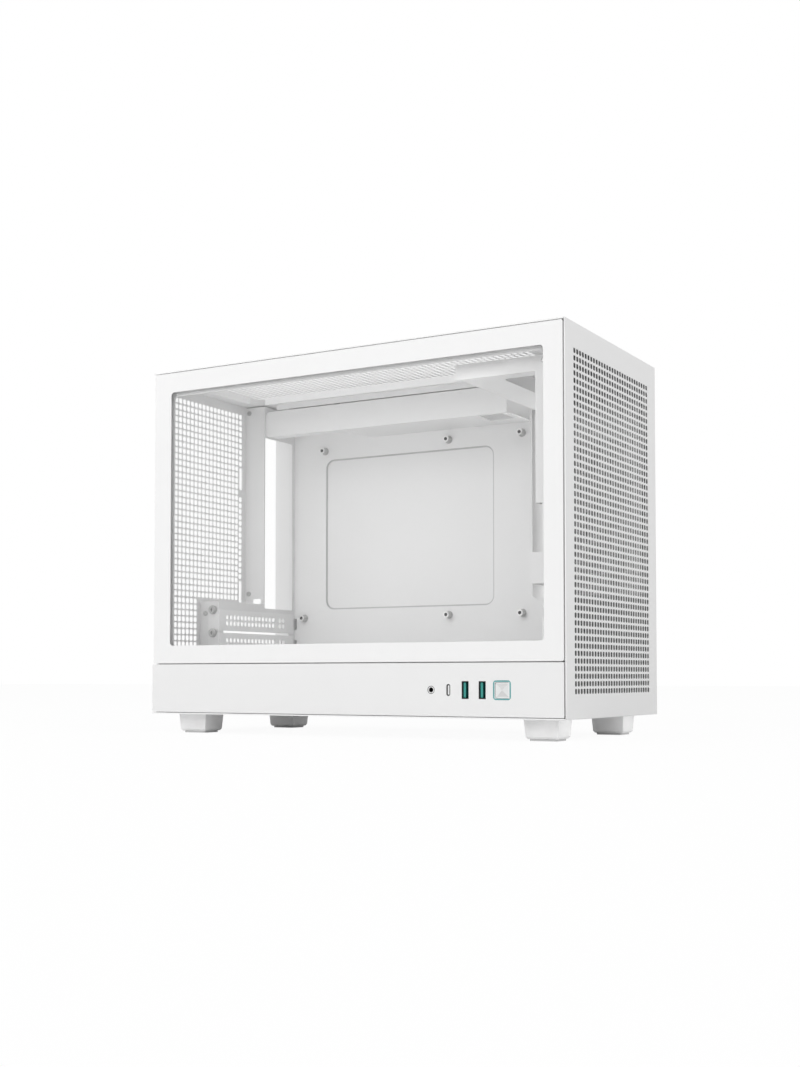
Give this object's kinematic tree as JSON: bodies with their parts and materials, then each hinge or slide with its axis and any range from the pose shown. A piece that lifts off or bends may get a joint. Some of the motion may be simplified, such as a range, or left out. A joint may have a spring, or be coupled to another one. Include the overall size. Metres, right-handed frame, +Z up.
{
  "type": "mini itx pc case",
  "caption": "Upright box-shaped computer case with a framed glass side, mesh front, perforated rear, top and far side, lower port strip and an open board bay",
  "frame": {"origin": "centre of the case's footprint at the feet's lowest plane", "axes": "+X towards the mesh front, +Y from the glass side to the far side, +Z up"},
  "size_m": [0.382, 0.192, 0.308],
  "materials": {
    "painted_steel": "fine white powder coat",
    "clear_glass": "clear tempered glass, polished edges",
    "bare_steel": "zinc plated",
    "standoff_plate": "bright zinc plated",
    "white_plastic": "moulded, fine texture",
    "screen_weave": "fine woven nylon screen",
    "port_metal": "dark plated shell",
    "white_nylon": "moulded nylon",
    "black_plastic": "moulded, fine texture",
    "teal_plastic": "translucent teal",
    "button_cap": "pale frosted cap",
    "dark_rubber": "soft grey pad",
    "circuit_board": "solder mask"
  },
  "bodies": {
    "chassis": {"base_pan": "painted_steel", "far_sill": "painted_steel", "rear_rim": "painted_steel", "rear_pocket": "painted_steel", "side_frame": "painted_steel", "rear_wall": "painted_steel", "rear_post": "painted_steel", "front_frame": "painted_steel", "top_frame": "painted_steel", "motherboard_tray": "painted_steel", "tray_standoffs": "standoff_plate", "cable_shelf": "painted_steel", "psu_bracket": "painted_steel", "psu_rest": "painted_steel", "slot_screws": "bare_steel", "pocket_screws": "bare_steel", "io_strip": "painted_steel", "io_board": "circuit_board", "io_posts": "white_nylon", "usb_c_port": "port_metal", "usb_c_tongue": "white_plastic", "audio_jack": "white_plastic", "light_ring": "teal_plastic", "button_switch": "black_plastic", "door_sockets": "white_nylon", "side_sockets": "white_nylon", "top_sockets": "white_nylon", "front_sockets": "white_nylon", "foot_screws": "bare_steel", "power_inlet": "black_plastic", "inlet_pins": "bare_steel", "inlet_screws": "bare_steel", "slot_cover_1": "painted_steel", "slot_cover_2": "painted_steel", "slot_cover_3": "painted_steel", "slot_cover_4": "painted_steel", "usb_a_port_1": "black_plastic", "usb_a_tongue_1": "teal_plastic", "usb_a_port_2": "black_plastic", "usb_a_tongue_2": "teal_plastic", "foot_front_near": "white_plastic", "foot_pad_front_near": "dark_rubber", "foot_front_far": "white_plastic", "foot_pad_front_far": "dark_rubber", "foot_rear_near": "white_plastic", "foot_pad_rear_near": "dark_rubber", "foot_rear_far": "white_plastic", "foot_pad_rear_far": "dark_rubber"},
    "glass_door": {"door_frame": "painted_steel", "glass_pane": "clear_glass", "door_studs": "bare_steel"},
    "side_cover": {"side_panel": "painted_steel", "side_studs": "bare_steel"},
    "top_cover": {"top_panel": "painted_steel", "top_studs": "bare_steel"},
    "front_cover": {"front_panel": "painted_steel", "front_studs": "bare_steel", "dust_screen": "screen_weave"},
    "button": {"power_button": "button_cap"}
  },
  "joints": [
    {"name": "door_pull", "type": "slide", "parent": "chassis", "child": "glass_door", "axis": [0, -1, 0], "range_m": [0, 0.06]},
    {"name": "side_pull", "type": "slide", "parent": "chassis", "child": "side_cover", "axis": [0, 1, 0], "range_m": [0, 0.06]},
    {"name": "top_lift", "type": "slide", "parent": "chassis", "child": "top_cover", "axis": [0, 0, 1], "range_m": [0, 0.06]},
    {"name": "front_pull", "type": "slide", "parent": "chassis", "child": "front_cover", "axis": [1, 0, 0], "range_m": [0, 0.06]},
    {"name": "button_press", "type": "slide", "parent": "chassis", "child": "button", "axis": [0, 1, 0], "range_m": [0, 0.0012], "stiffness_N_per_m": 400}
  ]
}
